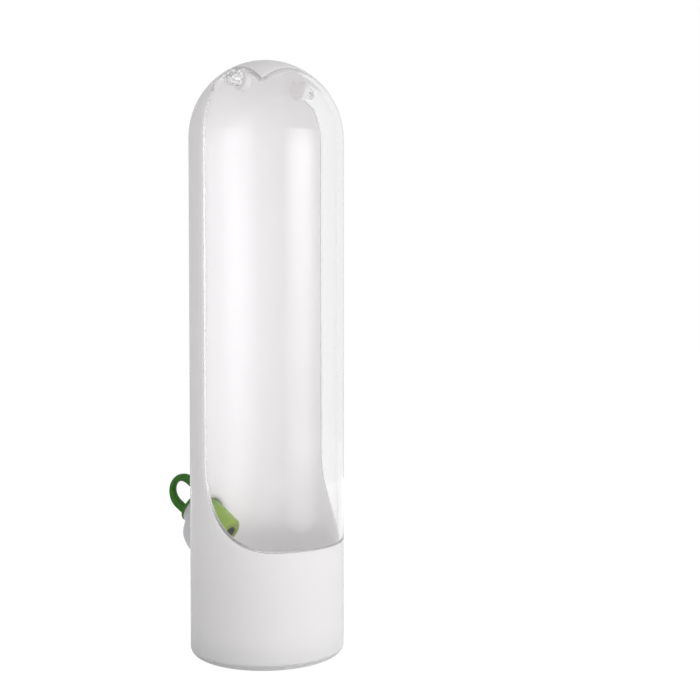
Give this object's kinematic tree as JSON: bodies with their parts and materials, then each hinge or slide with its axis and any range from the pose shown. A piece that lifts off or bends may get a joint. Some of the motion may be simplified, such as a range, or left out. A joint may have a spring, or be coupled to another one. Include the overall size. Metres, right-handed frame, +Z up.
{
  "type": "herb keeper",
  "caption": "Standing domed tube that keeps cut herbs fresh in a water cup, with a clear door that flips up and a stoppered filler neck at the back.",
  "frame": {"origin": "centre of the foot, on the surface it stands on", "axes": "+Z up along the tube, +Y towards the back, -Y towards the door, +X to the right seen from the front"},
  "size_m": [0.068, 0.0892, 0.26],
  "materials": {
    "white_moulding": "satin",
    "floor_moulding": "satin",
    "seal": "matt",
    "clear_plastic": "polished clear plastic",
    "pin_steel": "polished",
    "spout_moulding": "satin",
    "green_silicone": "satin"
  },
  "bodies": {
    "body": {"body_shell": "white_moulding", "base_floor": "floor_moulding", "floor_seal": "seal", "hinge_pin_left": "pin_steel", "hinge_pin_right": "pin_steel", "fill_spout": "spout_moulding"},
    "door": {"door": "clear_plastic"},
    "plug": {"fill_plug": "green_silicone"}
  },
  "joints": [
    {"name": "door_flip", "type": "hinge", "parent": "body", "child": "door", "pos_m": [0, -0.004, 0.2495], "axis": [-1, 0, 0], "range_deg": [0, 95]},
    {"name": "plug_pull", "type": "slide", "parent": "body", "child": "plug", "axis": [-0.2171, 0.8101, 0.5446], "range_m": [0, 0.024]}
  ]
}
